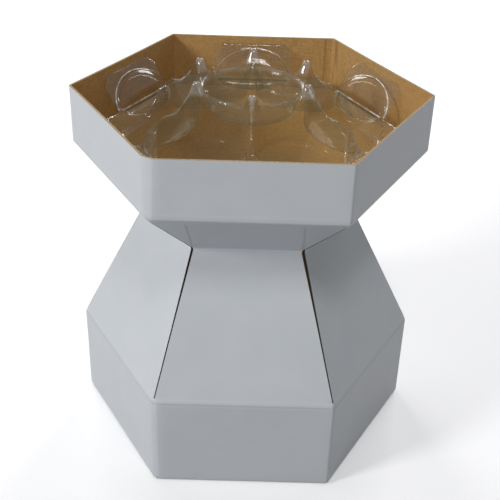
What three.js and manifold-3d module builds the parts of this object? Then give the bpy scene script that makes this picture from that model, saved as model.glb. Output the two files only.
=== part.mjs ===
// A bouquet box for seven cupcakes: a folded board carton with a wide tray on top,
// a narrow neck and a wide foot, and a clear moulded film insert that stands in the tray.
// Millimetres, +Z up, origin at the middle of the foot, one flat side facing -Y.

import * as THREE from "three";
import { mergeVertices } from "three/addons/utils/BufferGeometryUtils.js";
import Module from "manifold-3d";

const wasm = await Module();
wasm.setup();

// Carton: heights of its four zones, from the table up
const bandHeight = 69;
const slopeRise = 96;
const coneRise = 44.3;
const trayDepth = 39.7;

// Carton: hexagon sizes, from the centre to a corner
const footRadius = 120;
const neckRadius = 71.7;
const trayRadius = 120;

// Carton: board, folds and cuts
const board = 1.5;
const foldRadius = 1.6;
const neckFoldRadius = 2.4;
const cornerRadius = 2.4;
const seamCornerRadius = 9;
const slitAtNeck = [1.6, 1.6, 1.6, 1.6, 1.3, 2.2];
const slitAtMiddle = 0.7;
const slitAtEnd = 1.0;
const slitStop = 2.5;
const glueFlapWidth = 17;
const glueFlapTaper = 4;
const floorFold = 9;
const floorSeam = 1.2;
const sideFlapLength = 46;
const sideFlapTaper = 9;

// Insert: film and its clearance to the board
const film = 0.6;
const clearance = 0.3;

// Insert: the dome, a six-sided pyramid with its faces towards the tray's walls; every rise
// is counted from the fold at the tray's foot
const domeRise = 42.7;
const landSlope = 40;
const tabFoldInset = 13.6;

// Insert: the six spikes that keep neighbouring cakes apart
const spikeRise = 52.7;
const spikeOffset = 2.9;
const spikeRoot = 8.5;
const spikeTip = 1.4;
const spikeLength = 16;

// Insert: the seven wells
const wellInset = 36.12;
const wellLean = 15;
const centreRimRise = 46.7;
const centreRimRadius = 34;
const outerRimRise = 28.7;
const outerRimRadius = 34;
const mouthDraft = 23;
const wallDraft = 15;
const wellDepth = 22;
const wellFloorRound = 4;
const wellHeadroom = 60;

// Insert: the six spring tabs and the round bosses across their folds
const tabWidth = 58;
const tabRise = 33.7;
const tabCornerCut = 6;
const tabSlit = 1.2;
const bossRadius = 27;
const bossRise = 15;
const bossProud = 4;
const dishRadius = 19;
const dishReach = 15;
const dishDepth = 5;

// Facets round the turned shapes
const wellFacets = 24;
const spikeFacets = 8;
const bossFacets = 16;

// Worked out from the sizes above
const SIDES = 6;
const COS = Math.cos(Math.PI / SIDES);
const TAN = Math.tan(Math.PI / SIDES);
const slopeBase = bandHeight;
const neckHeight = slopeBase + slopeRise;
const trayFloor = neckHeight + coneRise;
const rimHeight = trayFloor + trayDepth;
const footReach = footRadius * COS;
const neckReach = neckRadius * COS;
const rimReach = trayRadius * COS;
const trayReach = rimReach - board - clearance;
const far = 3 * trayRadius;
const rad = THREE.MathUtils.degToRad;
const deg = THREE.MathUtils.radToDeg;

const cornerAngle = (i) => (2 * Math.PI * i) / SIDES;
const sideAngle = (i) => cornerAngle(i + 0.5);

function solidOf(geometry) {
  const bare = geometry.clone();
  bare.deleteAttribute("normal");
  bare.deleteAttribute("uv");
  const merged = mergeVertices(bare, 1e-4);
  const mesh = new wasm.Mesh({
    numProp: 3,
    vertProperties: Float32Array.from(merged.attributes.position.array),
    triVerts: Uint32Array.from(merged.index.array),
  });
  return new wasm.Manifold(mesh);
}

function meshOf(solid, name, material) {
  const found = solid.getMesh();
  const geometry = new THREE.BufferGeometry();
  geometry.setAttribute("position", new THREE.BufferAttribute(found.vertProperties, 3));
  geometry.setIndex(new THREE.BufferAttribute(found.triVerts, 1));
  geometry.computeVertexNormals();
  const mesh = new THREE.Mesh(geometry, material);
  mesh.name = name;
  return mesh;
}

function extrude(points, depth) {
  const shape = new THREE.Shape(points.map(([x, y]) => new THREE.Vector2(x, y)));
  return new THREE.ExtrudeGeometry(shape, { depth, bevelEnabled: false, steps: 1 });
}

// A sheet's middle line: straight runs between the given points, with round folds
function foldedPath(points, radii, steps = 3) {
  const path = [points[0]];
  for (let i = 1; i < points.length - 1; i += 1) {
    const here = points[i];
    const back = points[i - 1].clone().sub(here).normalize();
    const on = points[i + 1].clone().sub(here).normalize();
    const half = Math.acos(THREE.MathUtils.clamp(back.dot(on), -1, 1)) / 2;
    const reach = radii[i] / Math.tan(half);
    const middle = back.clone().add(on).normalize();
    const centre = here.clone().addScaledVector(middle, radii[i] / Math.sin(half));
    const start = here.clone().addScaledVector(back, reach).sub(centre);
    const end = here.clone().addScaledVector(on, reach).sub(centre);
    const sweep = Math.atan2(start.cross(end), start.dot(end));
    for (let k = 0; k <= steps; k += 1) {
      path.push(start.clone().rotateAround(new THREE.Vector2(), (sweep * k) / steps).add(centre));
    }
  }
  path.push(points[points.length - 1]);
  return path;
}

function normals(path) {
  return path.map((at, i) => {
    const before = path[Math.max(i - 1, 0)];
    const after = path[Math.min(i + 1, path.length - 1)];
    const first = i === 0 ? after.clone().sub(at) : at.clone().sub(before);
    const second = i === path.length - 1 ? at.clone().sub(before) : after.clone().sub(at);
    const a = new THREE.Vector2(first.y, -first.x).normalize();
    const b = new THREE.Vector2(second.y, -second.x).normalize();
    const mean = a.clone().add(b).normalize();
    return mean.divideScalar(mean.dot(a));
  });
}

const shifted = (path, by) => {
  const out = normals(path);
  return path.map((at, i) => at.clone().addScaledVector(out[i], by));
};

// A hexagon with round corners at one height, from the distance to its flats
function hexagonRing(reach, height, radii, steps = 4) {
  const ring = [];
  for (let i = 0; i < SIDES; i += 1) {
    const angle = cornerAngle(i);
    const centre = (reach - radii[i]) / COS;
    for (let k = 0; k <= steps; k += 1) {
      const turn = angle + (k / steps - 0.5) * (2 * Math.PI / SIDES);
      const x = centre * Math.cos(angle) + radii[i] * Math.cos(turn);
      const y = centre * Math.sin(angle) + radii[i] * Math.sin(turn);
      ring.push(new THREE.Vector3(x, y, height));
    }
  }
  return ring;
}

// A closed band through rings of points; the last ring joins the first
function loft(rings) {
  const count = rings[0].length;
  const positions = rings.flat().flatMap((p) => [p.x, p.y, p.z]);
  const index = [];
  rings.forEach((ring, r) => {
    const next = ((r + 1) % rings.length) * count;
    const here = r * count;
    for (let k = 0; k < count; k += 1) {
      const n = (k + 1) % count;
      index.push(here + k, here + n, next + n, here + k, next + n, next + k);
    }
  });
  const geometry = new THREE.BufferGeometry();
  geometry.setAttribute("position", new THREE.BufferAttribute(new Float32Array(positions), 3));
  geometry.setIndex(index);
  return geometry;
}

// The board's outer face, as distance to a flat and height, from the floor's fold to the rim
const outline = [
  [footReach - floorFold, 0],
  [footReach, 0],
  [footReach, slopeBase],
  [neckReach, neckHeight],
  [rimReach, trayFloor],
  [rimReach, rimHeight],
].map(([x, y]) => new THREE.Vector2(x, y));

// The seam corner is soft along the foot and the tray, and every corner is sharp at the neck
function softness(height) {
  const below = (height - slopeBase) / slopeRise;
  const above = (trayFloor - height) / coneRise;
  const share = height < neckHeight ? below : above;
  return 1 - THREE.MathUtils.clamp(share * 3, 0, 1);
}

const SEAM_CORNER = 4;

function cornerRadii(height, inside) {
  const soft = softness(height);
  return Array.from({ length: SIDES }, (_, i) => {
    const round = i === SEAM_CORNER ? seamCornerRadius : cornerRadius;
    const radius = THREE.MathUtils.lerp(cornerRadius, round, soft);
    return Math.max(radius - inside, 0.2);
  });
}

function walls() {
  const middle = shifted(outline, -board / 2);
  const radii = [0, foldRadius, foldRadius, neckFoldRadius, foldRadius, 0];
  const path = foldedPath(middle, radii);
  const outer = shifted(path, board / 2);
  const inner = shifted(path, -board / 2);
  const outerRings = outer.map((p) => hexagonRing(p.x, p.y, cornerRadii(p.y, 0)));
  const innerRings = inner.map((p) => hexagonRing(p.x, p.y, cornerRadii(p.y, board)));
  return solidOf(loft([...outerRings, ...innerRings.reverse()]));
}

// A cut from the tray's fold through the neck to the foot's fold, widest at the neck
function slit(i) {
  const low = slopeBase + slitStop;
  const high = trayFloor - slitStop;
  const widths = [
    [low, slitAtEnd],
    [slopeBase + slopeRise / 2, slitAtMiddle],
    [neckHeight - neckFoldRadius, slitAtNeck[i]],
    [neckHeight + neckFoldRadius, slitAtNeck[i]],
    [high, slitAtMiddle],
  ];
  const right = widths.map(([z, w]) => [w / 2, z]);
  const left = widths.map(([z, w]) => [-w / 2, z]).reverse();
  const geometry = extrude([...right, ...left], trayRadius);
  geometry.rotateX(Math.PI / 2);
  geometry.rotateZ(Math.PI / 2);
  geometry.translate(neckRadius / 2, 0, 0);
  geometry.rotateZ(cornerAngle(i));
  return solidOf(geometry);
}

// The flap that closes the tube, glued inside the front side beside the seam corner
function glueFlap(radius, low, high, spare = 0) {
  const start = -radius / 2 + seamCornerRadius * TAN - spare;
  const end = start + glueFlapWidth + 2 * spare;
  const points = [
    [start, low],
    [end, low + glueFlapTaper],
    [end, high - glueFlapTaper],
    [start, high],
  ];
  const geometry = extrude(points, board + clearance + spare);
  geometry.rotateX(Math.PI / 2);
  geometry.translate(0, -radius * COS + 2 * board + clearance + spare, 0);
  return solidOf(geometry);
}

// Half of the floor: one flap from the front or back side, up to the seam in the middle
function floorFlap(side) {
  const reach = footReach - board;
  const wide = reach / COS;
  const points = [
    [-wide + floorSeam * TAN, floorSeam / 2],
    [wide - floorSeam * TAN, floorSeam / 2],
    [wide / 2, reach],
    [-wide / 2, reach],
  ];
  const geometry = extrude(points, board);
  geometry.rotateZ(side > 0 ? 0 : Math.PI);
  return solidOf(geometry);
}

// One of four flaps folded in from the slanting sides, on top of the two big ones
function sideFlap(i) {
  const reach = footReach - board;
  const half = reach * TAN - board;
  const points = [
    [reach - sideFlapLength, -half + sideFlapTaper],
    [reach, -half],
    [reach, half],
    [reach - sideFlapLength, half - sideFlapTaper],
  ];
  const geometry = extrude(points, board + clearance);
  geometry.translate(0, 0, board - clearance);
  geometry.rotateZ(sideAngle(i));
  return solidOf(geometry);
}

function carton() {
  let solid = walls();
  solid = solid.add(floorFlap(1)).add(floorFlap(-1));
  for (const i of [0, 2, 3, 5]) {
    solid = solid.add(sideFlap(i));
  }
  const margin = foldRadius + board;
  solid = solid.add(glueFlap(footRadius, margin + board, slopeBase - margin));
  solid = solid.add(glueFlap(trayRadius, trayFloor + margin, rimHeight - margin));
  for (let i = 0; i < SIDES; i += 1) {
    solid = solid.subtract(slit(i));
  }
  return solid;
}

// Insert: its heights, and the tab fold from where the film's edge rests on the sloping board
const domeTop = trayFloor + domeRise;
const spikeTop = trayFloor + spikeRise;
const centreRimHeight = trayFloor + centreRimRise;
const outerRimHeight = trayFloor + outerRimRise;
const tabTopHeight = trayFloor + tabRise;
const wellPitch = trayReach - wellInset;
const spikeReach = wellPitch / (2 * COS) + spikeOffset;
const coneSlope = Math.atan2(coneRise, rimReach - neckReach);
const edgeRest = (board + clearance) / Math.cos(coneSlope);
const edgeHeight = neckHeight + (trayReach - neckReach) * Math.tan(coneSlope) + edgeRest;
const tabFoldReach = trayReach - tabFoldInset;
const tabFoldHeight = edgeHeight + tabFoldInset * Math.tan(rad(landSlope));

// Everything under a plane that falls outwards in one direction
function under(angle, slope, reach, height, grow) {
  const geometry = new THREE.BoxGeometry(2 * far, 2 * far, far);
  geometry.translate(0, 0, grow - far / 2);
  geometry.rotateY(rad(slope));
  geometry.translate(reach, 0, height);
  geometry.rotateZ(angle);
  return solidOf(geometry);
}

// A prism over a hexagon with its flats at the given distance and its corners like the tray's
function hexagonPrism(reach, low, high) {
  const radii = cornerRadii(rimHeight, board + clearance);
  const points = hexagonRing(reach, 0, radii).map((p) => [p.x, p.y]);
  const geometry = extrude(points, high - low);
  geometry.translate(0, 0, low);
  return solidOf(geometry);
}

// One well as a solid of revolution about its own axis, upright, its rim at height 0
function wellTool(rimRadius, grow) {
  const floorRadius = rimRadius - wellDepth * Math.tan(rad(wallDraft));
  const side = [
    new THREE.Vector2(0, -wellDepth),
    new THREE.Vector2(floorRadius, -wellDepth),
    new THREE.Vector2(rimRadius, 0),
    new THREE.Vector2(rimRadius + wellHeadroom * Math.tan(rad(mouthDraft)), wellHeadroom),
  ];
  const round = foldedPath(side, [0, wellFloorRound, 2 * wellFloorRound, 0], 2);
  const wall = shifted(round, -grow);
  wall[0].x = 0;
  const profile = [...wall, new THREE.Vector2(0, wellHeadroom)];
  profile.push(new THREE.Vector2(0, wall[0].y));
  const geometry = new THREE.LatheGeometry(profile, wellFacets);
  geometry.rotateX(Math.PI / 2);
  return geometry;
}

function wells(grow) {
  const middle = wellTool(centreRimRadius, grow);
  middle.translate(0, 0, centreRimHeight);
  const cut = [solidOf(middle)];
  for (let i = 0; i < SIDES; i += 1) {
    const outer = wellTool(outerRimRadius, grow);
    outer.rotateY(rad(wellLean));
    outer.translate(wellPitch, 0, outerRimHeight);
    outer.rotateZ(cornerAngle(i));
    cut.push(solidOf(outer));
  }
  return cut.reduce((all, one) => all.add(one));
}

// Tab: its lean from upright follows from where its top meets the wall
const tabTopReach = trayReach - film;
const tabLean = Math.atan2(tabTopReach - tabFoldReach, tabTopHeight - tabFoldHeight);
const tabSlope = deg(Math.PI / 2 - tabLean);

// Everything behind one tab, as a wedge between the tab's inner face and the wall
function behindTab(i, grow) {
  const wedge = under(0, -tabSlope, tabFoldReach, tabFoldHeight, grow);
  const points = [
    [tabFoldReach - bossRadius, -tabWidth / 2],
    [far, -tabWidth / 2],
    [far, tabWidth / 2],
    [tabFoldReach - bossRadius, tabWidth / 2],
  ];
  const height = tabTopHeight - tabFoldHeight + bossRadius;
  const lane = extrude(points, height);
  lane.translate(0, 0, tabTopHeight - height);
  let solid = wedge.intersect(solidOf(lane));
  const top = [
    [tabFoldHeight - bossRadius, -tabWidth / 2],
    [tabTopHeight - tabCornerCut, -tabWidth / 2],
    [tabTopHeight, -tabWidth / 2 + tabCornerCut],
    [tabTopHeight, tabWidth / 2 - tabCornerCut],
    [tabTopHeight - tabCornerCut, tabWidth / 2],
    [tabFoldHeight - bossRadius, tabWidth / 2],
  ];
  const cheeks = extrude(top, far);
  cheeks.rotateY(-Math.PI / 2);
  cheeks.translate(far, 0, 0);
  solid = solid.intersect(solidOf(cheeks));
  return solid.rotate([0, 0, deg(sideAngle(i))]);
}

// One half of a flattened ball lying on a face beside the fold, on the given side of the fold
function halfBall(slope, side, along, across, deep, grow) {
  const ball = new THREE.SphereGeometry(1, bossFacets, bossFacets / 2);
  ball.rotateX(Math.PI / 2);
  ball.scale(along, across, deep);
  const keep = new THREE.BoxGeometry(far, far, far);
  keep.translate((side * far) / 2 - grow, 0, 0);
  const half = solidOf(ball).intersect(solidOf(keep));
  return half.rotate([0, slope, 0]).translate([tabFoldReach, 0, tabFoldHeight]);
}

function aroundSides(solid) {
  const copies = Array.from({ length: SIDES }, (_, i) => {
    return solid.rotate([0, 0, deg(sideAngle(i))]);
  });
  return copies.reduce((all, one) => all.add(one));
}

// A half-round boss stands on each tab, and a half-round dish sinks into the land before it
function bosses(grow) {
  const [along, across, deep] = [bossRise, bossRadius, bossProud].map((size) => size + grow);
  return aroundSides(halfBall(-tabSlope, 1, along, across, deep, grow));
}

function dishes(grow) {
  const [along, across, deep] = [dishReach, dishRadius, dishDepth].map((size) => size - grow);
  return aroundSides(halfBall(landSlope, -1, along, across, deep, grow));
}

// The spikes, before the wells hollow their three sides
function spikes(grow) {
  const height = spikeLength + grow;
  const horn = new THREE.CylinderGeometry(spikeTip + grow, spikeRoot + grow, height, spikeFacets);
  horn.rotateX(Math.PI / 2);
  horn.translate(spikeReach, 0, spikeTop - spikeLength + height / 2);
  return aroundSides(solidOf(horn));
}

// The mould the film is drawn over; the film is what the grown mould has and this lacks
function mould(grow) {
  let solid = hexagonPrism(rimReach, neckHeight, domeTop + grow);
  for (let i = 0; i < SIDES; i += 1) {
    solid = solid.intersect(under(sideAngle(i), landSlope, tabFoldReach, tabFoldHeight, grow));
  }
  for (let i = 0; i < SIDES; i += 1) {
    solid = solid.add(behindTab(i, grow));
  }
  solid = solid.add(bosses(grow)).subtract(dishes(grow)).add(spikes(grow));
  return solid.subtract(wells(grow));
}

// A slit at each end of a tab frees it from the film beside it
function tabSlits() {
  let all = null;
  for (let i = 0; i < SIDES; i += 1) {
    for (const side of [-1, 1]) {
      const geometry = new THREE.BoxGeometry(far, tabSlit, far);
      geometry.translate(tabFoldReach + far / 2, side * (tabWidth + tabSlit) / 2, tabFoldHeight);
      geometry.rotateZ(sideAngle(i));
      const cut = solidOf(geometry);
      all = all ? all.add(cut) : cut;
    }
  }
  return all;
}

function insert() {
  const skin = mould(film).subtract(mould(0));
  const trimmed = skin.intersect(hexagonPrism(trayReach, neckHeight + board, spikeTop + 2 * film));
  const besideFlap = glueFlap(trayRadius, neckHeight, rimHeight, clearance);
  const pieces = trimmed.subtract(tabSlits()).subtract(besideFlap).decompose();
  return pieces.sort((a, b) => b.volume() - a.volume())[0];
}

const whiteBoard = new THREE.MeshStandardMaterial({
  color: 0xdfe2e6,
  roughness: 0.45,
  metalness: 0,
});
const clearFilm = new THREE.MeshStandardMaterial({
  color: 0xdfe4e2,
  roughness: 0.06,
  metalness: 0,
  transparent: true,
  opacity: 0.3,
});

const box = new THREE.Group();
box.add(meshOf(carton(), "carton", whiteBoard));
box.add(meshOf(insert(), "cupcake_insert", clearFilm));

export default box;
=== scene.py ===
# %% [markdown]
# # A bouquet box for cupcakes
# The real object is two pieces: a carton folded from one white-lined kraft sheet, with a wide
# tray, a narrow neck and a wide foot, and a clear film insert with seven wells in the tray.
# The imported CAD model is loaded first. Every piece made here keeps to its size and its place.

# %% Load the frame
import math

import bmesh
import bpy
import numpy as np
from mathutils import Matrix, Vector


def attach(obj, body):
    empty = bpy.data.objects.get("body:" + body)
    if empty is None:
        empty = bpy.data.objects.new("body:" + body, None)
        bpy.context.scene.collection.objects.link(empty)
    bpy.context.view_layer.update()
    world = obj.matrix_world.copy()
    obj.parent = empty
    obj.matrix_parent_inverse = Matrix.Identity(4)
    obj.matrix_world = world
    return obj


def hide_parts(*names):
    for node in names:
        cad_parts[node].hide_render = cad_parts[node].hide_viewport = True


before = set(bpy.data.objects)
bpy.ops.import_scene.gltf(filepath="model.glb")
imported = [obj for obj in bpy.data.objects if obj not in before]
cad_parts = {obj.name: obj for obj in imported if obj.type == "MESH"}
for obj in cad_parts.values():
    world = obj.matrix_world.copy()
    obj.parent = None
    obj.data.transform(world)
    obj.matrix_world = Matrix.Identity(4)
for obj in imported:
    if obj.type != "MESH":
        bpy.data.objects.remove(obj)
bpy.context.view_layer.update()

# %% [markdown]
# ## Sizes
# These are the carton's and the insert's own sizes in millimetres. The meshes are worked out in
# millimetres, and a single helper turns them into metres when it makes the Blender mesh. Angles
# and corners are counted from +X, anticlockwise, so corner 4 is the front left one.

# %% Sizes
SIDES = 6
COS = math.cos(math.pi / SIDES)
TAN = math.tan(math.pi / SIDES)
BAND, SLOPE, CONE, TRAY = 69.0, 96.0, 44.3, 39.7
NECK_Z = BAND + SLOPE
FOLD_Z = NECK_Z + CONE
RIM_Z = FOLD_Z + TRAY
FOOT_N, NECK_N, TRAY_N = 120.0 * COS, 71.7 * COS, 120.0 * COS
BOARD = 1.5
CORNER_R = 2.4
SEAM = 4          # the corner where the sheet is glued
SEAM_R = 9.0      # the room that the glue flap leaves there
SLIT_NECK = [1.6, 0.6, 0.6, 1.6, 1.7, 2.4]
SLIT_MIDDLE = [0.9, 0.35, 0.35, 0.9, 1.0, 1.2]
SLIT_END = 0.8
SLIT_STOP = 2.5   # how far from the folds the slits end
print("heights:", BAND, NECK_Z, FOLD_Z, RIM_Z)


# %% [markdown]
# ## From rows of points to a mesh
# Both pieces are worked out as NumPy arrays of points and faces. One helper makes the Blender
# mesh, and a second one finishes an object so that it rides on the CAD body.

# %% Mesh helpers
def make_mesh(name, points_mm, faces, materials, slots=None, smooth=True):
    mesh = bpy.data.meshes.new(name)
    mesh.from_pydata((np.asarray(points_mm) / 1000).tolist(), [], faces)
    for one in materials:
        mesh.materials.append(one)
    if slots is not None:
        mesh.polygons.foreach_set("material_index", slots)
    mesh.polygons.foreach_set("use_smooth", [smooth] * len(mesh.polygons))
    mesh.update()
    piece = bpy.data.objects.new(name, mesh)
    bpy.context.collection.objects.link(piece)
    return piece


# %% [markdown]
# ## Shader maths as Python
# A material is a small sum on masks and noises. This class wraps one socket, so that a sum
# such as 1 - mask * 0.3 adds its Math nodes by itself and reads like the sum it is.

# %% Socket class
class Socket:
    def __init__(self, tree, socket):
        self.tree = tree
        self.socket = socket

    def math(self, kind, *others, flip=False):
        values = [self, *others]
        if flip:
            values.reverse()
        return node(self.tree, "ShaderNodeMath", {"operation": kind}, *values)

    def __add__(self, other):
        return self.math("ADD", other)

    def __radd__(self, other):
        return self.math("ADD", other, flip=True)

    def __sub__(self, other):
        return self.math("SUBTRACT", other)

    def __rsub__(self, other):
        return self.math("SUBTRACT", other, flip=True)

    def __mul__(self, other):
        return self.math("MULTIPLY", other)

    def __rmul__(self, other):
        return self.math("MULTIPLY", other, flip=True)

    def __truediv__(self, other):
        return self.math("DIVIDE", other)

    def __pow__(self, other):
        return self.math("POWER", other)

    def __abs__(self):
        return self.math("ABSOLUTE")

    def between(self, low, high):
        return node(self.tree, "ShaderNodeMapRange", {"interpolation_type": "SMOOTHSTEP"},
                    self, low, high, 0.0, 1.0)


def plug(tree, socket, value):
    if isinstance(value, Socket):
        tree.links.new(value.socket, socket)
    else:
        socket.default_value = value


def node(tree, kind, settings=None, *values, out=0, **named):
    made = tree.nodes.new(kind)
    for key, value in (settings or {}).items():
        setattr(made, key, value)
    for socket, value in zip(made.inputs, values):
        plug(tree, socket, value)
    for key, value in named.items():
        plug(tree, made.inputs[key.replace("_", " ")], value)
    return Socket(tree, made.outputs[out])


def mix(tree, share, first, second):
    made = tree.nodes.new("ShaderNodeMix")
    made.data_type = "RGBA"
    plug(tree, made.inputs[0], share)
    plug(tree, made.inputs[6], first)
    plug(tree, made.inputs[7], second)
    return Socket(tree, made.outputs[2])


def colour(r, g, b):
    def linear(c):
        c /= 255
        return c / 12.92 if c <= 0.04045 else ((c + 0.055) / 1.055) ** 2.4
    return (linear(r), linear(g), linear(b), 1.0)


def new_material(name):
    material = bpy.data.materials.new(name)
    material.use_nodes = True
    tree = material.node_tree
    shader = tree.nodes["Principled BSDF"]
    return material, tree, shader


def noise(tree, place, scale, detail=3.0):
    return node(tree, "ShaderNodeTexNoise", None, Vector=place, Scale=scale, Detail=detail,
                Roughness=0.55)


def axes(tree, place):
    parts = tree.nodes.new("ShaderNodeSeparateXYZ")
    tree.links.new(place.socket, parts.inputs[0])
    return [Socket(tree, out) for out in parts.outputs]


def stretched(tree, place, x, y, z):
    return node(tree, "ShaderNodeMapping", None, Vector=place, Scale=(x, y, z))


# %% [markdown]
# ## White satin board
# The outside of the sheet is a coated white liner. It isn't flat white: the liner is a little
# mottled, its sheen changes from place to place, and fine fibres make it slightly uneven. Soft
# pressed lines cross the panel under the tray and run along the scored folds. They are too
# shallow for mesh, so they are bumps that follow the object's own coordinates. The crease at the
# top of the foot and the lines under the tray are also painted darker, as painted shade. The neck
# fold and the fold below the tray are painted lighter, as painted highlights, and a thin bluish
# line at the neck is a painted highlight too.

# %% White board material
white_board, tree, shader = new_material("white_satin_board")
place = node(tree, "ShaderNodeTexCoord", out=3)
x, y, z = axes(tree, place)
mottle = noise(tree, place, 38.0, 4.0)
fibres = noise(tree, stretched(tree, place, 1.0, 1.0, 4.0), 900.0, 2.0)
waves = noise(tree, place, 16.0, 1.0)


def line_at(height, width, level):
    return 1 - (abs(level - height / 1000)).between(0.0, width / 1000)


crease = line_at(BAND - 0.4, 1.3, z)
welt = line_at(BAND + 1.9, 1.9, z)
hem = line_at(FOLD_Z + 2.6, 2.4, z) + line_at(0.9, 0.9, z)
# painted highlight along the neck fold and the fold below the tray
fold_painted_highlight = line_at(NECK_Z, 2.6, z) * 0.5 + line_at(FOLD_Z, 1.8, z) * 0.3
under_tray = z.between((NECK_Z + 1) / 1000, (NECK_Z + 6) / 1000)
under_tray = under_tray * (1 - z.between((FOLD_Z - 9) / 1000, (FOLD_Z - 1) / 1000))
front = (y * -1.0).between(0.055, 0.06)
rising = z - NECK_Z / 1000
curl = (rising * rising) * 1.2
bend_left = 1 - (abs(x + 0.0355 + curl)).between(0.0, 0.0013)
bend_right = 1 - (abs(x - 0.0355 + curl)).between(0.0, 0.0013)
bend_lines = (bend_left + bend_right) * under_tray * front
tone = mottle.between(0.3, 0.75)
base = mix(tree, tone, colour(219, 224, 228), colour(223, 227, 231))
# painted shade along the crease at the top of the foot
base = mix(tree, crease * 0.18, base, colour(160, 163, 168))
# painted shade along the bend lines under the tray
base = mix(tree, bend_lines * 0.35, base, colour(150, 152, 158))
# painted highlight on those two folds
base = mix(tree, fold_painted_highlight * 0.5, base, colour(238, 240, 242))
# painted highlight: a thin bluish line along the neck
base = mix(tree, line_at(NECK_Z + 0.4, 1.6, z), base, colour(243, 245, 255))
plug(tree, shader.inputs["Base Color"], base)
plug(tree, shader.inputs["Roughness"], 0.44 + 0.1 * mottle - 0.08 * fold_painted_highlight)
shader.inputs["Specular IOR Level"].default_value = 0.42
shader.inputs["Coat Weight"].default_value = 0.08
shader.inputs["Coat Roughness"].default_value = 0.25
relief = fibres * 0.012 + waves * 0.25 - crease * 0.22 + welt * 0.16 + hem * 0.1
relief = relief - bend_lines * 0.25
bump = node(tree, "ShaderNodeBump", None, Strength=1.0, Distance=0.001, Height=relief)
plug(tree, shader.inputs["Normal"], bump)
print("made", white_board.name)

# %% [markdown]
# ## Kraft board inside
# The inner face is bare brown kraft. Its look comes from long fibres that lie every way, some
# darker and some lighter than the paper, with small specks between them. Two stretched noises
# crossed at right angles give the fibres, and a third gives the specks.

# %% Kraft material
kraft_board, tree, shader = new_material("brown_kraft_board")
place = node(tree, "ShaderNodeTexCoord", out=3)
lying = noise(tree, stretched(tree, place, 1.0, 1.0, 7.0), 260.0, 5.0)
standing = noise(tree, stretched(tree, place, 5.0, 5.0, 1.0), 240.0, 5.0)
cloud = noise(tree, place, 22.0, 3.0)
specks = noise(tree, place, 620.0, 2.0).between(0.62, 0.74)
fibre = (lying * 0.5 + standing * 0.5).between(0.36, 0.64)
base = mix(tree, fibre, colour(188, 148, 93), colour(212, 173, 115))
base = mix(tree, cloud.between(0.3, 0.7) * 0.5, base, colour(197, 156, 99))
base = mix(tree, specks * 0.3, base, colour(142, 104, 62))
plug(tree, shader.inputs["Roughness"], 0.72 + 0.14 * fibre)
shader.inputs["Specular IOR Level"].default_value = 0.15
print("made", kraft_board.name)

# %% [markdown]
# ## A crumpled corner
# Where it was squeezed, the inside of the rear right corner has a few upright wrinkles. They
# are one noise, stretched along the height and kept to that corner by a distance mask. The
# paper is painted darker in their creases, as painted shade, and the noise joins the fibres in
# the bump.

# %% Wrinkles of the rear right corner
nearby = node(tree, "ShaderNodeVectorMath", {"operation": "DISTANCE"}, place,
              (0.060, 0.1035, 0.235), out=1)
there = 1 - nearby.between(0.012, 0.03)
wrinkle = noise(tree, stretched(tree, place, 1.0, 1.0, 0.08), 190.0, 1.0)
# painted shade in the creases of the wrinkles
wrinkle_painted_shade = wrinkle.between(0.5, 0.62) * there
base = mix(tree, wrinkle_painted_shade * 0.45, base, colour(138, 100, 55))
plug(tree, shader.inputs["Base Color"], base)
relief = fibre * 0.24 + specks * 0.2 + wrinkle * there * 1.6
plug(tree, shader.inputs["Normal"],
     node(tree, "ShaderNodeBump", None, Strength=0.5, Distance=0.001, Height=relief))
print("wrinkled one corner of", kraft_board.name)

# %% [markdown]
# ## Cut edges
# Where the sheet was cut, its brown core shows behind the thin white liner. It is rougher than
# the faces, and the knife leaves fine streaks across it. Inside the corner slits hardly any
# light reaches it, so it is darker there.

# %% Cut edge material
cut_board, tree, shader = new_material("cut_board_edge")
place = node(tree, "ShaderNodeTexCoord", out=3)
streaks = noise(tree, stretched(tree, place, 1.0, 1.0, 3.0), 700.0, 4.0)
base = mix(tree, streaks.between(0.3, 0.7), colour(150, 124, 88), colour(190, 166, 130))
level = axes(tree, place)[2]
in_slit = level.between((BAND - 2) / 1000, (BAND + 2) / 1000)
in_slit = in_slit * (1 - level.between((FOLD_Z - 2) / 1000, (FOLD_Z + 2) / 1000))
base = mix(tree, in_slit * 0.9, base, colour(48, 40, 32))
plug(tree, shader.inputs["Base Color"], base)
plug(tree, shader.inputs["Roughness"], 0.7 + 0.15 * streaks)
plug(tree, shader.inputs["Normal"],
     node(tree, "ShaderNodeBump", None, Strength=0.4, Distance=0.0003, Height=streaks))
print("made", cut_board.name)

# %% [markdown]
# ## The folded sheet
# A folded board has no sharp bends. Its outline from rim to foot is a chain of straight runs
# with small round folds between them, and the same chain goes round all the sides. So the
# sheet is one grid: rows follow the outline, and columns go round the hexagon. Where a slit
# parts two sides, the faces over the corner are left out. Modelling it by hand from boxes would
# give the same outline but not the open corners, which narrow towards the neck.

# %% Outline rows of the sheet
def run(a, b, count):
    steps = np.linspace(0, 1, count, endpoint=False)
    return [(a[0] + (b[0] - a[0]) * s, a[1] + (b[1] - a[1]) * s) for s in steps]


def fold(before, at, after, radius, steps):
    at, before, after = map(np.array, (at, before, after))
    back = (before - at) / np.linalg.norm(before - at)
    on = (after - at) / np.linalg.norm(after - at)
    half = math.acos(float(np.clip(back @ on, -1, 1))) / 2
    middle = (back + on) / np.linalg.norm(back + on)
    centre = at + middle * radius / math.sin(half)
    start = at + back * radius / math.tan(half) - centre
    end = at + on * radius / math.tan(half) - centre
    sweep = math.atan2(start[0] * end[1] - start[1] * end[0], start @ end)
    turned = []
    for k in range(steps + 1):
        a = sweep * k / steps
        c, s = math.cos(a), math.sin(a)
        turned.append(tuple(centre + np.array([c * start[0] - s * start[1],
                                               s * start[0] + c * start[1]])))
    return turned


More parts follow.
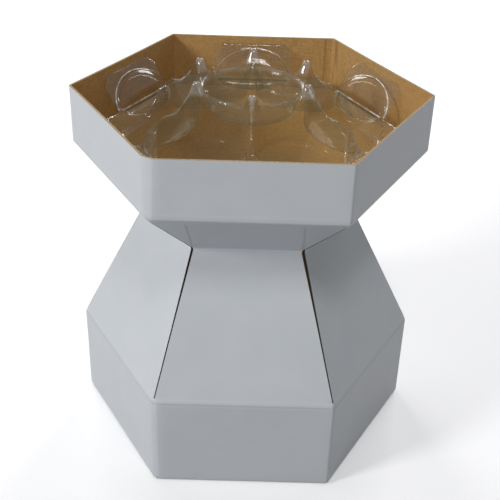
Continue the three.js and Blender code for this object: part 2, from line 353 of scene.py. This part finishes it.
corners = [(TRAY_N, RIM_Z), (TRAY_N, FOLD_Z), (NECK_N, NECK_Z), (FOOT_N, BAND), (FOOT_N, 0.0),
           (FOOT_N - 9.0, 0.0)]
fold_radii = [0, 2.4, 3.2, 2.4, 2.4, 0]
run_rows = [12, 14, 30, 20, 4]
rows = []
last = corners[0]
for i in range(1, 5):
    turned = fold(corners[i - 1], corners[i], corners[i + 1], fold_radii[i], 6)
    rows += run(last, turned[0], run_rows[i - 1]) + turned[:-1]
    last = turned[-1]
rows += run(last, corners[5], run_rows[4]) + [corners[5]]
print("rows from rim to foot:", len(rows))

# %% [markdown]
# ## Corners and slits
# Every corner is a small arc. The seam corner in front is softer, because the glued flap behind
# it holds it round. In the slit zones each side ends at the slit's edge, and the slit is widest
# at the neck, where the sheet has to bend both ways. Both sizes follow from the height.

# %% Slit widths and corner radii
ARC, STRAIGHT = 6, 26


def slit_width(corner, height):
    marks = [BAND + SLIT_STOP, BAND + SLOPE / 2, NECK_Z - 3, NECK_Z + 3, FOLD_Z - SLIT_STOP]
    widths = [SLIT_END, SLIT_MIDDLE[corner], SLIT_NECK[corner], SLIT_NECK[corner],
              SLIT_MIDDLE[corner]]
    return float(np.interp(height, marks, widths))


def corner_round(corner, height):
    share = (height - BAND) / SLOPE if height < NECK_Z else (FOLD_Z - height) / CONE
    soft = 1 - min(max(share * 3, 0), 1)
    seam_wide = 5.0 if height < NECK_Z else 6.0 + 3.0 * max(height - FOLD_Z, 0) / TRAY
    wide = seam_wide if corner == SEAM else CORNER_R
    return CORNER_R + (wide - CORNER_R) * soft


print("slits at the neck, mm:", SLIT_NECK)

# %% [markdown]
# ## One row round the hexagon
# A row starts at a corner with a few points, either an arc or the two edges of the slit, and goes
# on along the side to the next corner. Every row has the same number of points, so that two
# neighbouring rows always make a strip of quads. The seam corner is nearly a flat chamfer.

# %% Rows of points and their faces
CHORD = [0, 0.07, 0.3, 0.5, 0.7, 0.93, 1]
SEAM_BULGE = 0.35


def toward(angle):
    return np.array([math.cos(angle), math.sin(angle)])


def round_corner(corner, tip, angle, r):
    centre = tip - toward(angle) * r / COS
    arc = [centre + r * toward(angle + (k / ARC - 0.5) * math.pi / 3) for k in range(ARC + 1)]
    if corner != SEAM:
        return arc
    flat = [arc[0] + (arc[-1] - arc[0]) * share for share in CHORD]
    return [f + (p - f) * SEAM_BULGE for f, p in zip(flat, arc)]


def open_corner(tip, angle, cut):
    sides = [-1 if k <= ARC / 2 else 1 for k in range(ARC + 1)]
    return [tip + cut * toward(angle + s * math.radians(120)) for s in sides]


def ring(reach, height):
    is_open = BAND + SLIT_STOP < height < FOLD_Z - SLIT_STOP
    tips, gaps, row = [], [], []
    for i in range(SIDES):
        tips.append(toward(math.radians(60 * i)) * reach / COS)
        gaps.append(slit_width(i, height) / 2 / COS if is_open else corner_round(i, height) * TAN)
    for i in range(SIDES):
        angle = math.radians(60 * i)
        if is_open:
            row += open_corner(tips[i], angle, gaps[i])
        else:
            row += round_corner(i, tips[i], angle, corner_round(i, height))
        nxt = (i + 1) % SIDES
        along = (tips[nxt] - tips[i]) / np.linalg.norm(tips[nxt] - tips[i])
        start, stop = tips[i] + along * gaps[i], tips[nxt] - along * gaps[nxt]
        row += [start + (stop - start) * k / STRAIGHT for k in range(1, STRAIGHT)]
    return [(*p, height) for p in row], is_open


points, open_rows = [], []
for reach, height in rows:
    around, is_open = ring(reach, height)
    points += around
    open_rows.append(is_open)
COLUMNS = SIDES * (ARC + STRAIGHT)
per_side = ARC + STRAIGHT
faces = []
for r in range(len(rows) - 1):
    for c in range(COLUMNS):
        over_corner = c % per_side < ARC
        if over_corner and open_rows[r] and open_rows[r + 1]:
            continue
        n = (c + 1) % COLUMNS
        faces.append((r * COLUMNS + c, (r + 1) * COLUMNS + c, (r + 1) * COLUMNS + n,
                      r * COLUMNS + n))
points = np.array(points)
print("sheet:", len(points), "points,", len(faces), "faces")

# %% [markdown]
# ## Life in the board
# Real panels are never quite flat. Each side bows in by a few tenths of a millimetre between its
# folds. A modifier could do that, but the points are still an array here, so the bow is a sum of
# sine waves that pushes them towards the middle, and it shows in how the light runs over them.

# %% Bow of the panels
angle = np.arctan2(points[:, 1], points[:, 0])
side = np.floor(np.degrees(angle) / 60) * 60 + 30
sx, sy = np.cos(np.radians(side)), np.sin(np.radians(side))
reach = points[:, 0] * sx + points[:, 1] * sy
along = (-points[:, 0] * sy + points[:, 1] * sx) / (reach * TAN)
level = points[:, 2]
zones = [(0, BAND), (BAND, NECK_Z), (NECK_Z, FOLD_Z), (FOLD_Z, RIM_Z + 30)]
bow = np.zeros(len(points))
for (low, high), deep in zip(zones, (-0.5, -0.7, -0.4, -0.5)):
    share = np.clip((level - low) / (high - low), 0, 1)
    bow += deep * np.sin(math.pi * share) * np.cos(np.clip(along, -1, 1) * math.pi / 2)
points[:, 0] += bow * sx
points[:, 1] += bow * sy
print("largest bow, mm:", round(float(np.abs(bow).max()), 2))

# %% [markdown]
# ## Thickness
# The grid is the outer face. Solidify gives the board its thickness inwards, and puts the
# inner face and the cut edges on their own materials.

# %% Carton sheet
def drop_loose(piece):
    work = bmesh.new()
    work.from_mesh(piece.data)
    bmesh.ops.delete(work, geom=[v for v in work.verts if not v.link_faces], context="VERTS")
    bmesh.ops.remove_doubles(work, verts=work.verts, dist=1e-6)
    work.to_mesh(piece.data)
    work.free()


def bake_modifiers(piece):
    bpy.context.view_layer.update()
    graph = bpy.context.evaluated_depsgraph_get()
    mesh = bpy.data.meshes.new_from_object(piece.evaluated_get(graph))
    mesh.name = piece.name
    piece.modifiers.clear()
    piece.data = mesh
    return len(mesh.polygons)


carton = make_mesh("carton_sheet", points, faces, [white_board, kraft_board, cut_board])
drop_loose(carton)
thick = carton.modifiers.new("thickness", "SOLIDIFY")
thick.thickness = BOARD / 1000
thick.offset = -1
thick.use_even_offset = True
thick.material_offset = 1
thick.material_offset_rim = 2
print("carton faces:", bake_modifiers(carton))
SHARP = math.radians(50)
carton.data.set_sharp_from_angle(angle=SHARP)

# %% [markdown]
# ## Floor and glued flaps
# Under the foot two wide flaps meet in the middle. Inside the seam corner the sheet's last flap
# is glued to the front side, once in the tray and once in the foot. They are plain cut shapes,
# so each is an outline with the board's thickness and a small bevel.

# %% Flap helper and flaps
def flap(name, outline_mm):
    piece = make_mesh(name, outline_mm, [tuple(range(len(outline_mm)))],
                      [white_board, kraft_board, cut_board], smooth=False)
    solid = piece.modifiers.new("thickness", "SOLIDIFY")
    solid.thickness = BOARD / 1000
    solid.offset = -1
    solid.material_offset = 1
    solid.material_offset_rim = 2
    soft = piece.modifiers.new("soft", "BEVEL")
    soft.width = 0.0002
    soft.segments = 2
    bake_modifiers(piece)
    piece.data.set_sharp_from_angle(angle=SHARP)
    return piece


inner = FOOT_N - BOARD
wide = inner / COS
FLOOR_GAP, LIFT, GLUE_FLAP = 0.4, 0.02, 17
flaps = []
for name, s in (("floor_flap_back", 1), ("floor_flap_front", -1)):
    seam = s * FLOOR_GAP / 2
    shape = [(-wide + 1, seam, LIFT), (wide - 1, seam, LIFT), (wide / 2, s * inner, LIFT),
             (-wide / 2, s * inner, LIFT)]
    if s > 0:
        shape.reverse()
    flaps.append(flap(name, shape))
for low, high in ((4.6, BAND - 3), (FOLD_Z + 3, RIM_Z - 3)):
    left = -60 + SEAM_R * TAN
    wall = -FOOT_N + BOARD + 0.05
    right = left + GLUE_FLAP
    shape = [(left, wall, low), (right, wall, low + 4), (right, wall, high - 4),
             (left, wall, high)]
    flaps.append(flap("glue_flap_%d" % low, shape))
print("flaps:", [one.name for one in flaps])

# %% [markdown]
# ## Side flaps of the floor
# Four of the six sides have a short flap that lies on the two wide ones. They are one shape that
# repeats round the middle, so one flap is modelled and a node tree places it. Copying it by hand
# would work too, but the tree keeps the count and the sides left out as plain inputs.

# %% Ring of side flaps
ring_tree = bpy.data.node_groups.new("ring_of_flaps", "GeometryNodeTree")
face = ring_tree.interface
inputs = {}
for label, kind in (("Flap", "Object"), ("Sides", "Int"), ("Left out of three", "Int"),
                    ("Board", "Material")):
    inputs[label] = face.new_socket(label, in_out="INPUT", socket_type="NodeSocket" + kind)
face.new_socket("Geometry", in_out="OUTPUT", socket_type="NodeSocketGeometry")
given = ring_tree.nodes.new("NodeGroupInput")
asked = {label: Socket(ring_tree, given.outputs[label]) for label in inputs}
number = node(ring_tree, "GeometryNodeInputIndex")
about = (number + 0.5) * 2 * math.pi / asked["Sides"]
kept = abs(number.math("MODULO", 3.0) - asked["Left out of three"]).math("GREATER_THAN", 0.5)
starts = node(ring_tree, "GeometryNodePoints", None, asked["Sides"])
template = node(ring_tree, "GeometryNodeObjectInfo", None, asked["Flap"], out="Geometry")
placed = node(ring_tree, "GeometryNodeInstanceOnPoints", None, starts, kept, template,
              Rotation=node(ring_tree, "ShaderNodeCombineXYZ", None, 0.0, 0.0, about))
solid = node(ring_tree, "GeometryNodeRealizeInstances", None, placed)
painted = node(ring_tree, "GeometryNodeSetMaterial", None, solid, Material=asked["Board"])
result = ring_tree.nodes.new("NodeGroupOutput")
ring_tree.links.new(painted.socket, result.inputs["Geometry"])
print("nodes in the ring's tree:", len(ring_tree.nodes))

# %% [markdown]
# ## Using the tree
# The flap is modelled once, pointing to the +X corner. The tree turns its copies by half a side
# and then by whole sides round the middle, and the result becomes a plain mesh. The modelled
# flap is then deleted.

# %% The side flaps
half = inner * TAN - BOARD
SIDE_FLAP, TAPER, LYING = 46, 9, BOARD + 0.1
one_flap = flap("one_side_flap", [(inner - SIDE_FLAP, TAPER - half, LYING),
                                  (inner - SIDE_FLAP, half - TAPER, LYING),
                                  (inner - 0.3, half, LYING), (inner - 0.3, -half, LYING)])
side_flaps = make_mesh("floor_side_flaps", [], [], [])
ring_modifier = side_flaps.modifiers.new("ring", "NODES")
ring_modifier.node_group = ring_tree
for label, value in (("Flap", one_flap), ("Sides", SIDES), ("Left out of three", 1),
                     ("Board", kraft_board)):
    ring_modifier[inputs[label].identifier] = value
print("side flap faces:", bake_modifiers(side_flaps))
bpy.data.objects.remove(one_flap)
flaps.append(side_flaps)

# %% [markdown]
# ## The film's shape as one rule
# A thermoformed film is drawn over a mould, so its shape is the mould's upper surface. The
# mould is a six-sided dome with tabs, bosses and spikes added and wells and dishes taken away.
# Each of those is a distance in space, and a soft minimum joins them with the rounding
# that a heated film shows. Cutting solids from each other would leave knife-sharp rims instead.

# %% Film sizes and soft joins
FILM = 0.6
EDGE_N = TRAY_N - BOARD - 0.3
cone_slope = math.atan2(CONE, TRAY_N - NECK_N)
edge_z = NECK_Z + (EDGE_N - NECK_N) * math.tan(cone_slope) + (BOARD + 0.3) / math.cos(cone_slope)
LAND = math.radians(40)
FOLD_N = EDGE_N - 13.6
TAB_Z = edge_z + 13.6 * math.tan(LAND) + FILM
TAB_TOP = FOLD_Z + 33.7
TAB_SLOPE = math.atan2(TAB_TOP - TAB_Z, EDGE_N - FILM - FOLD_N)
PITCH = 66.0
LEAN = math.radians(15)
DOME_TOP = FOLD_Z + 42.7
SPIKE_TOP = FOLD_Z + 52.7
SPIKE_AT = 41.0
CENTRE_RIM = FOLD_Z + 46.7
OUTER_RIM = FOLD_Z + 28.7
BOSS_UP, BOSS_WIDE, BOSS_DEEP = 20.5, 27.6, 5.0
DISH_DOWN, DISH_WIDE, DISH_DEEP = 14.0, 26.0, 4.0
SCOOP = math.radians(10)
BOSS_CUT, DISH_CUT = 1.5, 2.0     # the upright step between boss and dish
HALF_TAB, SLIT = 29.0, 1.2


def soft_min(a, b, k):
    h = np.clip(0.5 + 0.5 * (b - a) / k, 0, 1)
    return b + (a - b) * h - k * h * (1 - h)


def soft_max(a, b, k):
    return -soft_min(-a, -b, k)


print("film edge at", round(edge_z, 2), "fold at", round(FOLD_N, 2), round(TAB_Z, 2))

# %% [markdown]
# ## Where a point lies on its side
# All six sides of the film are alike. So its material folds the angle round the middle back to
# the nearest side, and gets a place in that side's own terms: out from the fold, along the side
# and up. One sum then serves all six tabs, where a mask for each would need six.

# %% Places on the film
clear_film, tree, shader = new_material("clear_moulded_film")
tree.nodes.remove(shader)
place = node(tree, "ShaderNodeTexCoord", out=3)
x, y, z = axes(tree, place)
sector = (y.math("ARCTAN2", x) / (math.pi / 3)).math("FLOOR") * (math.pi / 3) + math.pi / 6
cosine, sine = sector.math("COSINE"), sector.math("SINE")
n_at = (x * cosine + y * sine) * 1000 - FOLD_N
t_at = (y * cosine - x * sine) * 1000
z_at = z * 1000 - TAB_Z
up_tab = n_at * math.cos(TAB_SLOPE) + z_at * math.sin(TAB_SLOPE)
down_scoop = n_at * math.cos(SCOOP) + z_at * math.sin(SCOOP)
print("tab slope, degrees:", round(math.degrees(TAB_SLOPE), 1))

# %% [markdown]
# ## Bright and dark lines
# The rolled bead round each boss, the straight crease below it and the foot of the dish get
# painted highlights, thin white lines, and below the crease a dark line is painted shade. They
# are worked out from the distance to the boss's outline, because they are thinner than the mesh.
# The spikes' edges get painted highlights too. On the front and back sides they are weaker, as
# the back one is in the photograph, because those sides catch less of the light.

# %% Lines on bosses, dishes and spikes
def ring_line(along, long_half, wide_half, width):
    away = (along / long_half) ** 2.0 + (t_at / wide_half) ** 2.0
    off = abs(away ** 0.5 - 1) * wide_half
    return 1 - off.between(0.0, width)


broken = noise(tree, place, 210.0, 2.0).between(0.34, 0.62)
outside = (x * cosine + y * sine).between(0.066, 0.08)
on_tab = n_at.between(-1.2, 0.2)
bead = ring_line(up_tab, BOSS_UP + 0.4, BOSS_WIDE, 0.9) * on_tab
on_dish = 1 - n_at.between(-2.6, -2.0)
foot = ring_line(down_scoop, DISH_DOWN - 0.2, DISH_WIDE - 0.2, 0.9) * on_dish * 0.6
wall = n_at.between(-3.4, -2.4) * (1 - n_at.between(-0.8, 0.0))
chord = (1 - abs(z_at - 1.2).between(0.2, 0.8)) * (1 - abs(t_at).between(25.0, 28.0)) * wall
# painted shade: the dark line below the crease
shade = (1 - abs(z_at + 0.5).between(0.4, 1.1)) * (1 - abs(t_at).between(25.0, 28.0)) * wall
from_spike = ((n_at + (FOLD_N - SPIKE_AT)) ** 2.0 + t_at ** 2.0) ** 0.5
at_spike = 1 - from_spike.between(5.0, 8.5)
at_spike = at_spike * z.between((DOME_TOP + 0.5) / 1000, (DOME_TOP + 4.5) / 1000)
turned_away = abs(sine).between(0.6, 0.9)
# painted highlights: bead, dish foot and crease, weaker on the sides turned from the light
lines = (bead + foot + chord) * (0.55 + 0.45 * broken) * (1 - 0.6 * turned_away)
print("lines of the bosses, mm from the fold:", BOSS_UP, DISH_DOWN)

# %% [markdown]
# ## Clear film
# The insert is thermoformed from clear sheet. Most light goes straight through it, a thin haze
# stays, and the bent places mirror the lamps. A thin skin with a see-through shader does that
# better than a solid of glass, because a real film barely bends the light. The share of gloss
# follows a Fresnel node, so that steep walls shine more than the flat land. The haze is olive; it
# is painted paler on ridges as a painted highlight, and darker in grooves and on the tabs as
# painted shade. The bright lines are painted highlights in white, and the dark line below the
# crease is painted shade.

# %% Film material
ripple = noise(tree, place, 75.0, 2.0)
bump = node(tree, "ShaderNodeBump", None, Strength=0.25, Distance=0.0008, Height=ripple)
through = node(tree, "ShaderNodeBsdfTransparent", None, (0.94, 0.94, 0.9, 1.0))
haze = node(tree, "ShaderNodeBsdfPrincipled", None, Roughness=0.6, Normal=bump)
gloss = node(tree, "ShaderNodeBsdfAnisotropic", None, (1.0, 1.0, 1.0, 1.0), 0.07, Normal=bump)
edge_on = node(tree, "ShaderNodeLayerWeight", None, 0.3, out=1)
bend = node(tree, "ShaderNodeAttribute", {"attribute_name": "bend"}, out=2)
ridge = bend.between(0.1, 0.4)
groove = (bend * -1.0).between(0.05, 0.25)
lively = (outside + ridge).math("MINIMUM", 1.0)
spike_edge = bend.between(0.15, 0.45) * at_spike
# painted highlights: the lines and the spikes' edges
glint = lines + spike_edge * (0.06 + 0.6 * broken * broken)
# painted highlight: paler haze on ridges
tint = mix(tree, ridge, (0.26, 0.24, 0.17, 1.0), (0.6, 0.6, 0.53, 1.0))
# painted shade: darker haze in grooves
tint = mix(tree, groove, tint, (0.2, 0.19, 0.13, 1.0))
# painted shade: darker haze on the tabs
tint = mix(tree, on_tab * (1 - ridge), tint, (0.09, 0.085, 0.05, 1.0))
# painted highlight: the lines are painted white
tint = mix(tree, glint, tint, (1.0, 1.0, 0.98, 1.0))
# painted shade below the crease
tint = mix(tree, shade, tint, (0.1, 0.08, 0.05, 1.0))
plug(tree, haze.socket.node.inputs["Base Color"], tint)
cloudy = 0.07 + 0.12 * edge_on + 0.12 * ridge + 0.22 * groove + 0.85 * glint + 0.5 * shade
veil = node(tree, "ShaderNodeMixShader", None, cloudy, through, haze)
mirror = node(tree, "ShaderNodeFresnel", None, 1.5, bump)
share = (mirror * 0.8).math("MINIMUM", 0.2) * (0.1 + 0.9 * lively) + at_spike * 0.12
film_shader = node(tree, "ShaderNodeMixShader", None, share, veil, gloss)
plug(tree, tree.nodes["Material Output"].inputs["Surface"], film_shader)
print("made", clear_film.name)

# %% [markdown]
# ## Wells, spikes, bosses and dishes
# A well is a tapered cup, which may lean. A boss is half a flattened ball on a tab, and the dish
# below it is the same shape turned inside out and open above. Each function gives about how far
# a point is outside the shape, in millimetres, so that a plain maximum cuts and a minimum adds.

# %% Distances to the shapes
WELL_R, OUTER_WELL_R, WELL_DEEP = 34.0 - FILM, 32.6, 22.0 - FILM


def well(u, v, z, reach, lean, rim_z, radius):
    u, w = u - reach, z - rim_z
    up = w * math.cos(lean) + u * math.sin(lean)
    out = u * math.cos(lean) - w * math.sin(lean)
    draft = np.where(up < 0, math.tan(math.radians(15)), math.tan(math.radians(23)))
    side_gap = (np.hypot(out, v) - radius - up * draft) * 0.95
    return soft_max(side_gap, -(up + WELL_DEEP), 5.0)


def half_ball(n, t, z, slope, sizes, cut, open_above=False):
    down = (n - FOLD_N) * math.cos(slope) + (z - TAB_Z) * math.sin(slope)
    off = -(n - FOLD_N) * math.sin(slope) + (z - TAB_Z) * math.cos(slope)
    if open_above:
        off = np.minimum(off, 0)
    plan = (down / sizes[0]) ** 2 + (t / sizes[1]) ** 2
    q = np.sqrt(plan ** 1.8 + (off / sizes[2]) ** 2)
    return np.maximum((q - 1) * sizes[2], cut)


# %% [markdown]
# ## The whole mould
# All six sides are alike, so a point is first turned to its own side, with n pointing out from
# the middle and t along the side. Tabs and bosses count only on the tabs' own grid points.

# %% Distance to the mould
def film_gap(px, py, pz, is_tab):
    angle = np.arctan2(py, px)
    side = np.floor(angle / (math.pi / 3)) * math.pi / 3 + math.pi / 6
    n = px * np.cos(side) + py * np.sin(side)
    t = -px * np.sin(side) + py * np.cos(side)
    land = (n - FOLD_N) * math.sin(LAND) + (pz - TAB_Z) * math.cos(LAND)
    gap = soft_max(land, pz - (DOME_TOP + FILM), 2.0)
    tab = -(n - FOLD_N) * math.sin(TAB_SLOPE) + (pz - TAB_Z) * math.cos(TAB_SLOPE)
    gap = np.where(is_tab, soft_min(gap, tab, 1.6), gap)
    boss = half_ball(n, t, pz, TAB_SLOPE, (BOSS_UP, BOSS_WIDE, BOSS_DEEP),
                     (FOLD_N - BOSS_CUT) - n)
    gap = np.where(is_tab, soft_min(gap, boss, 0.5), gap)
    spike_top = SPIKE_TOP + FILM
    from_spike = np.hypot(n - SPIKE_AT, t)
    spike = (from_spike - np.minimum(2.0 + (spike_top - pz) * 7.1 / 16, 9.1)) * 0.914
    gap = soft_min(gap, soft_max(spike, pz - spike_top, 1.5), 1.5)
    dish = half_ball(n, t, pz, SCOOP, (DISH_DOWN, DISH_WIDE, DISH_DEEP),
                     n - (FOLD_N - DISH_CUT), True)
    gap = soft_max(gap, -dish, 0.5)
    hole = well(px, py, pz, 0, 0, CENTRE_RIM, WELL_R)
    for turn in (-math.pi / 6, math.pi / 6):
        c, s = np.cos(side + turn), np.sin(side + turn)
        one = well(px * c + py * s, -px * s + py * c, pz, PITCH, LEAN, OUTER_RIM, OUTER_WELL_R)
        hole = soft_min(hole, one, 0.9)
    return soft_max(gap, -hole, 1.2)


# %% [markdown]
# ## A grid that leans with the wells
# The outer wells lean outwards, so their inner walls stand upright. A plain height grid would
# tear there. Instead every grid point climbs along its own line, which leans as the wells do
# and is upright again near the tray's walls. Halving steps then find the film's height on it.

# %% Film grid
N = 118
corner = [toward(math.radians(60 * i)) for i in range(SIDES + 1)]
flat, tri, index = [], [], {}
for i in range(SIDES):
    a, b = corner[i], corner[i + 1]
    number = {}
    for r in range(N + 1):
        for c in range(r + 1):
            p = (a * (r - c) + b * c) / N
            key = (round(p[0] * 1e6), round(p[1] * 1e6))
            if key not in index:
                index[key] = len(flat)
                flat.append(p)
            number[r, c] = index[key]
    for r in range(N):
        for c in range(r + 1):
            tri.append((number[r, c], number[r + 1, c], number[r + 1, c + 1]))
            if c < r:
                tri.append((number[r, c], number[r + 1, c + 1], number[r, c + 1]))
flat = np.array(flat) * EDGE_N / COS
tri = np.array(tri)
print("film grid:", len(flat), "points,", len(tri), "triangles")

# %% [markdown]
# ## Slits beside the tabs
# A narrow slit on both sides of each tab lets the tab stand up. Grid points near a slit's edge
# are moved onto it first, and then the triangles inside the slit are left out, which gives
# straight edges on a slanting grid.

# %% Slits beside the tabs
angle = np.arctan2(flat[:, 1], flat[:, 0])
side = np.floor(angle / (math.pi / 3)) * math.pi / 3 + math.pi / 6
n = flat[:, 0] * np.cos(side) + flat[:, 1] * np.sin(side)
t = -flat[:, 0] * np.sin(side) + flat[:, 1] * np.cos(side)
near = n > FOLD_N - 0.5
snapped = t.copy()
for line, low, high in ((HALF_TAB, -0.5, 0.6), (HALF_TAB + SLIT, -0.6, 0.5)):
    hit = near & (np.abs(t) > line + low) & (np.abs(t) <= line + high)
    snapped[hit] = np.sign(t[hit]) * line
flat = np.stack([n * np.cos(side) - snapped * np.sin(side),
                 n * np.sin(side) + snapped * np.cos(side)], 1)
t = snapped
is_tab = np.abs(t) < HALF_TAB + 0.1
mid_n = n[tri].mean(1)
mid_t = np.abs(t[tri]).mean(1)
in_slit = (mid_n > FOLD_N) & (mid_t > HALF_TAB) & (mid_t < HALF_TAB + SLIT)
mixed = is_tab[tri].any(1) & ~is_tab[tri].all(1) & (n[tri].max(1) > FOLD_N + 1)
tri = tri[~(in_slit | mixed)]
print("triangles kept:", len(tri))

# %% [markdown]
# ## Finding the heights
# Every point starts with a low and a high guess. The middle of both is tested against the mould,
# and the guess on the wrong side moves there. After 22 halvings the height is exact enough.

# %% Film heights
share = np.clip((n - 50) / 34, 0, 1)
lean = math.tan(LEAN) / PITCH * (1 - share * share * (3 - 2 * share))
low = np.full(len(flat), 200.0)
high = np.full(len(flat), 270.0)
for _ in range(22):
    z = (low + high) / 2
    grow = 1 + lean * (z - OUTER_RIM)
    inside = film_gap(flat[:, 0] * grow, flat[:, 1] * grow, z, is_tab) < 0
    low = np.where(inside, z, low)
    high = np.where(inside, high, z)
grow = 1 + lean * (low - OUTER_RIM)
film_points = np.stack([flat[:, 0] * grow, flat[:, 1] * grow, low], 1)
print("film heights:", round(float(low.min()), 1), round(float(low.max()), 1))

# %% [markdown]
# ## How sharply the film bends
# The material paints a bright line on tight bends of the film, as a painted highlight, and a dark
# one in grooves, as painted shade. So each point gets a number: how far it stands out from the
# middle of its neighbours, along its own normal. Away from the middle, except on the tabs and the
# land just below them, the number is weakened, so the painted lines and the gloss that follows
# them are fainter there. The material reads it as the attribute "bend".

# %% Bend of the film
across = np.zeros((len(film_points), 3))
count = np.zeros(len(film_points))
for a, b in ((0, 1), (1, 2), (2, 0)):
    for one, other in ((a, b), (b, a)):
        np.add.at(across, tri[:, one], film_points[tri[:, other]])
        np.add.at(count, tri[:, one], 1)
count = np.maximum(count, 1)
standing_out = film_points - across / count[:, None]
edge_a = film_points[tri[:, 1]] - film_points[tri[:, 0]]
edge_b = film_points[tri[:, 2]] - film_points[tri[:, 0]]
facing = np.cross(edge_a, edge_b)
normal = np.zeros_like(film_points)
for k in range(3):
    np.add.at(normal, tri[:, k], facing)
normal /= np.maximum(np.linalg.norm(normal, axis=1), 1e-9)[:, None]
spacing = np.maximum(np.linalg.norm(edge_a, axis=1).mean(), 0.5)
bend = (standing_out * normal).sum(1) / spacing
crown = np.hypot(film_points[:, 0], film_points[:, 1])
# weaker away from the middle, which fades the painted lines there
bend *= np.where((crown > 50) & ~(is_tab & (n > FOLD_N - 17)), 0.45, 1.0)
print("bend of the film:", np.round(np.percentile(bend, [1, 5, 50, 95, 99]), 3))

# %% [markdown]
# ## The film as a piece
# The tabs' upper corners are cut off at a slant. The film stays one thin skin, because a second
# skin behind it would double the haze, and only its cut edges get their thickness.

# %% Film piece
TAB_CHAMFER = 4.5
corner_cut = (n > FOLD_N + 6) & is_tab & (film_points[:, 2] - TAB_TOP > -TAB_CHAMFER) & (
    np.abs(t) - HALF_TAB + (film_points[:, 2] - TAB_TOP + TAB_CHAMFER) > 0)
tri = tri[~corner_cut[tri].any(1)]
insert = make_mesh("cupcake_insert_film", film_points, tri.tolist(), [clear_film])
stored = insert.data.attributes.new("bend", "FLOAT", "POINT")
stored.data.foreach_set("value", bend.astype(np.float32))
drop_loose(insert)
rim = insert.modifiers.new("cut_edge", "SOLIDIFY")
rim.thickness = FILM / 1000
rim.offset = -1
rim.use_rim_only = True
print("film faces:", bake_modifiers(insert))

# %% [markdown]
# ## Riding on the frame
# The carton and its flaps stand for the CAD carton, and the film stands for the CAD insert.

# %% Tie the pieces to the frame
for piece in (carton, *flaps):
    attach(piece, "root")
    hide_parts("carton")
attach(insert, "root")
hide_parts("cupcake_insert")
print("pieces:", [piece.name for piece in (carton, *flaps, insert)])

# %% [markdown]
# ## Table
# The box stands on a pale table. Seen directly, in a reflection or through the film it is nearly
# white, but the light that it sends back to the box is that of a darker, matt surface, so that
# the board's undersides stay as dim as they are.

# %% Table
def seen_directly(tree):
    rays = tree.nodes.new("ShaderNodeLightPath")
    names = ("Is Camera Ray", "Is Glossy Ray", "Is Transmission Ray")
    camera_ray, glossy_ray, through_ray = [Socket(tree, rays.outputs[one]) for one in names]
    return (camera_ray + glossy_ray + through_ray).math("MINIMUM", 1.0)


table_mat, tree, shader = new_material("pale_table")
place = node(tree, "ShaderNodeTexCoord", out=3)
grain = noise(tree, place, 3.0, 2.0)
seen = seen_directly(tree)
plug(tree, shader.inputs["Base Color"],
     mix(tree, seen, colour(145, 145, 147), colour(240, 240, 242)))
plug(tree, shader.inputs["Roughness"], 0.85 + 0.05 * grain)
shader.inputs["Emission Strength"].default_value = 0.3
plug(tree, shader.inputs["Emission Color"],
     mix(tree, seen, (0.0, 0.0, 0.0, 1.0), (1.0, 1.0, 1.0, 1.0)))
size = 6000
table = make_mesh("table", [(-size, -size, -0.3), (size, -size, -0.3), (size, size, -0.3),
                            (-size, size, -0.3)], [(0, 1, 2, 3)], [table_mat])
print("made", table_mat.name)

# %% [markdown]
# ## Light
# The key lamp stands at the upper left, and a weaker one above the camera. A low one keeps the
# front from going flat, two wide ones light the rear sides, and two narrow strips give the film
# its thin highlights. The world adds a little even light.

# %% Lamps and world
def lamp(name, place, target, size, power):
    data = bpy.data.lights.new(name, "AREA")
    data.shape = "RECTANGLE"
    data.size, data.size_y = size
    data.energy = power
    made = bpy.data.objects.new(name, data)
    made.location = place
    way = Vector(target) - made.location
    made.rotation_euler = way.to_track_quat("-Z", "Y").to_euler()
    bpy.context.collection.objects.link(made)


lamp("key", (-1.5, -0.9, 1.05), (0, 0, 0.15), (0.4, 0.4), 17.0)
lamp("top", (0.1, -1.0, 1.9), (0, 0, 0.2), (0.4, 0.4), 7.5)
lamp("low", (0.5, -1.8, 0.45), (0, 0, 0.17), (0.5, 0.5), 1.0)
lamp("back_right", (0.75, 1.8, 1.0), (0, 0, 0.15), (0.8, 0.8), 16.0)
lamp("back_left", (-0.75, 1.8, 1.0), (0, 0, 0.15), (0.8, 0.8), 14.0)
lamp("strip_left", (-1.1, 1.0, 1.2), (0, 0, 0.22), (0.06, 1.2), 1.6)
lamp("strip_right", (1.1, 1.0, 1.2), (0, 0, 0.22), (0.06, 1.2), 1.6)
world = bpy.data.worlds.new("studio")
bpy.context.scene.world = world
world.use_nodes = True
tree = world.node_tree
background = tree.nodes["Background"]
background.inputs["Color"].default_value = (0.97, 0.98, 1.0, 1.0)
plug(tree, background.inputs["Strength"], 0.11 + 0.6 * seen_directly(tree))
print("lamps:", [one.name for one in bpy.data.lights])

# %% [markdown]
# ## Camera
# The lens is long and looks down on the tray at about 32 degrees. Its place, its turns and its
# focal length come from fitting the box's corners to a picture 500 pixels wide.

# %% Camera
yaw, pitch, roll = map(math.radians, (-0.28, -31.9, -1.76))
turn = Matrix.Rotation(yaw, 3, "Z") @ Matrix.Rotation(pitch, 3, "X") @ Matrix.Rotation(roll, 3, "Y")
across, forward, upward = turn.col
camera_data = bpy.data.cameras.new("camera")
camera_data.sensor_width = 36.0
camera_data.lens = 976 / 500 * 36
camera = bpy.data.objects.new("camera", camera_data)
basis = Matrix((across, upward, -forward)).transposed().to_4x4()
basis.translation = (-0.0012, -0.596, 0.4972)
camera.matrix_world = basis
bpy.context.collection.objects.link(camera)
bpy.context.scene.camera = camera
bpy.context.scene.view_settings.view_transform = "Standard"
print("lens, mm:", round(camera_data.lens, 2))
